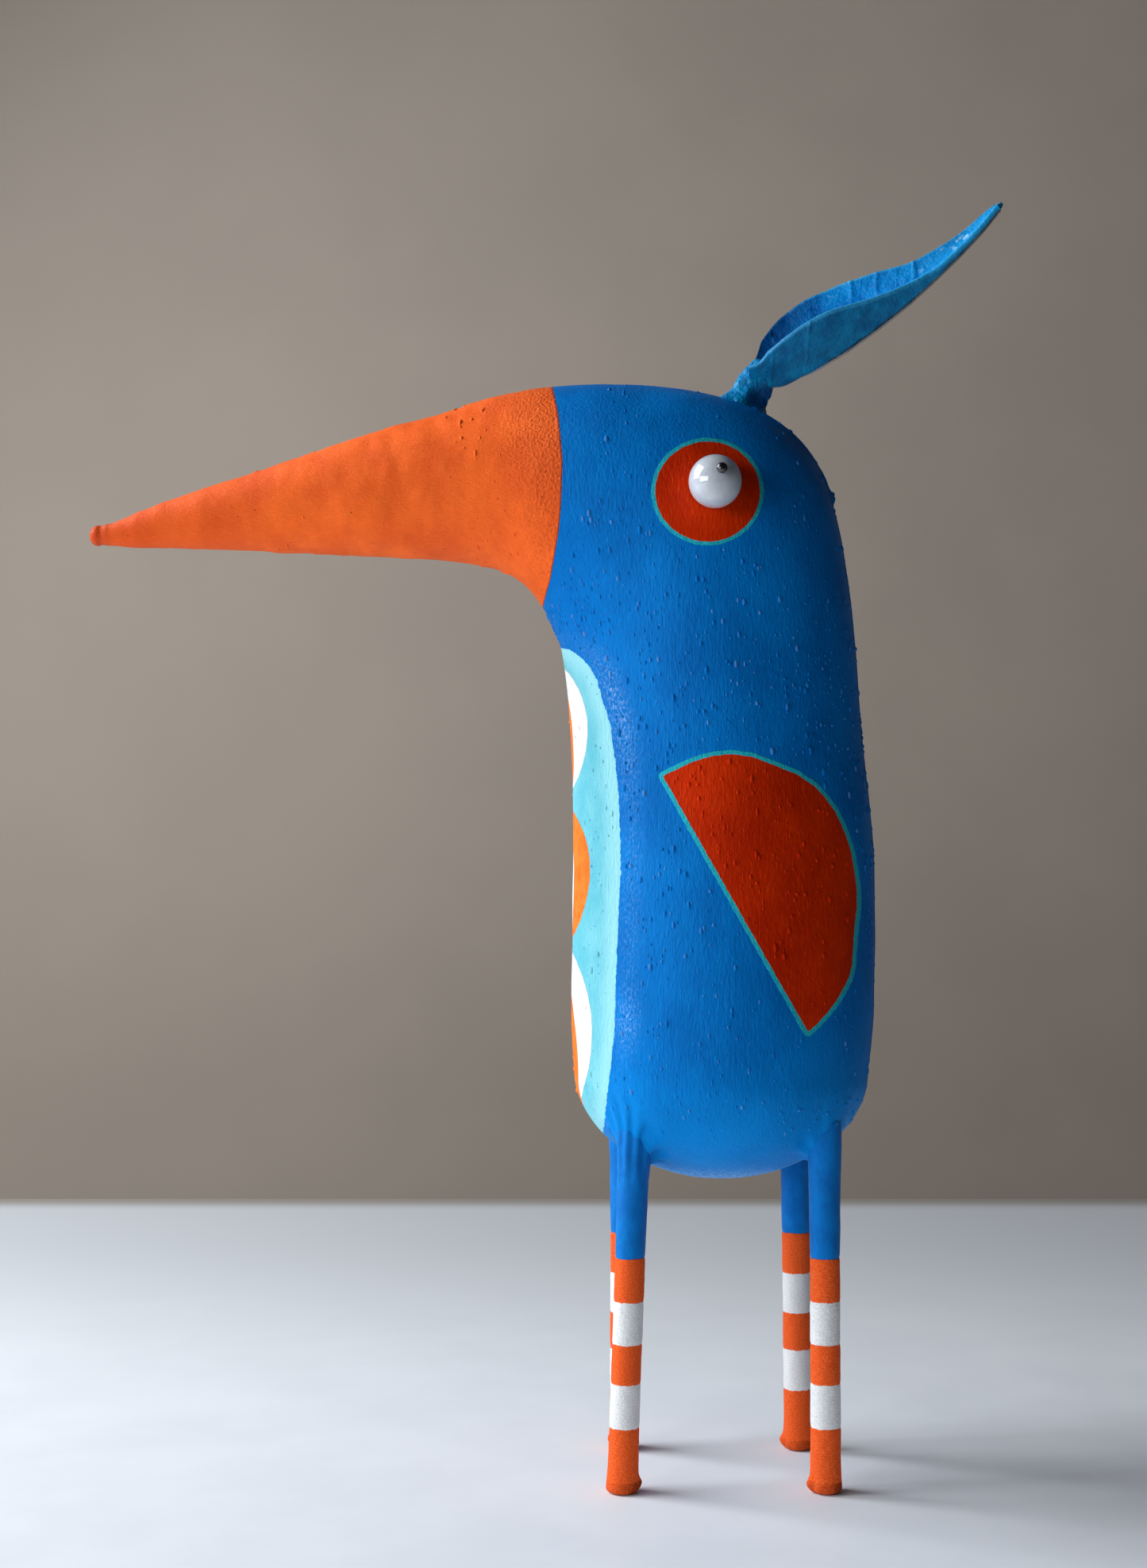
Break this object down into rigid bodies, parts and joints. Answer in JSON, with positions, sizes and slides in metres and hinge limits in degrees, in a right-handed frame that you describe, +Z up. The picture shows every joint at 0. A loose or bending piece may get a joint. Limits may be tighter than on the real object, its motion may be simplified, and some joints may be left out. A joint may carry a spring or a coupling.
{
  "type": "papier-mache bird figure",
  "caption": "Standing folk-art bird: hollow painted papier-mache body, long cone beak, pinned bead eyes, leaf crest and dowel legs.",
  "frame": {"origin": "on the ground, under the middle of the whole figure's box", "axes": "+Z up; the bird faces -X, its left side towards -Y; the beak tip and the crest tip are the ends along X"},
  "size_m": [0.3439, 0.1218, 0.4775],
  "materials": {
    "blue_painted_skin": "matt acrylic paint over pasted paper and cloth, with a fine upright grain and small raised grains",
    "orange_painted_skin": "matt acrylic paint over pasted paper and cloth, with a fine grain along the beak",
    "varnished_beak_tip": "gloss varnish over orange paint",
    "plain_wood": "bare, sanded",
    "cardboard_former": "plain brown",
    "white_bead": "glossy white",
    "black_pin_head": "glossy black",
    "steel_wire": "bright drawn wire",
    "blue_painted_leaf": "glossy acrylic paint over pasted paper, with raised veins",
    "striped_leg_wrap": "matt acrylic paint over wound cloth tape, in orange and white bands below blue"
  },
  "bodies": {
    "figure": {"body_skin_left": "blue_painted_skin", "body_skin_right": "blue_painted_skin", "back_seam_strip": "blue_painted_skin", "beak_skin": "orange_painted_skin", "beak_core": "varnished_beak_tip", "head_block": "plain_wood", "spine_dowel": "plain_wood", "base_board": "plain_wood", "belly_former": "cardboard_former", "chest_former": "cardboard_former", "neck_former": "cardboard_former", "eye_pin_left": "steel_wire", "eye_pin_right": "steel_wire", "eye_pupil_left": "black_pin_head", "eye_pupil_right": "black_pin_head", "crest_blade_left": "blue_painted_leaf", "crest_blade_right": "blue_painted_leaf", "crest_midrib": "steel_wire", "crest_foot": "blue_painted_leaf", "leg_dowel_front_left": "plain_wood", "leg_dowel_rear_left": "plain_wood", "leg_dowel_front_right": "plain_wood", "leg_dowel_rear_right": "plain_wood", "leg_wrap_front_left": "striped_leg_wrap", "leg_wrap_rear_left": "striped_leg_wrap", "leg_wrap_front_right": "striped_leg_wrap", "leg_wrap_rear_right": "striped_leg_wrap"},
    "eye_left": {"eye_bead_left": "white_bead"},
    "eye_right": {"eye_bead_right": "white_bead"}
  },
  "joints": [
    {"name": "eye_left_spin", "type": "hinge", "parent": "figure", "child": "eye_left", "pos_m": [0.0601, -0.048, 0.3643], "axis": [0.1518, -0.9583, 0.2419], "continuous": true},
    {"name": "eye_right_spin", "type": "hinge", "parent": "figure", "child": "eye_right", "pos_m": [0.0601, 0.048, 0.3643], "axis": [0.1518, 0.9583, 0.2419], "continuous": true}
  ]
}
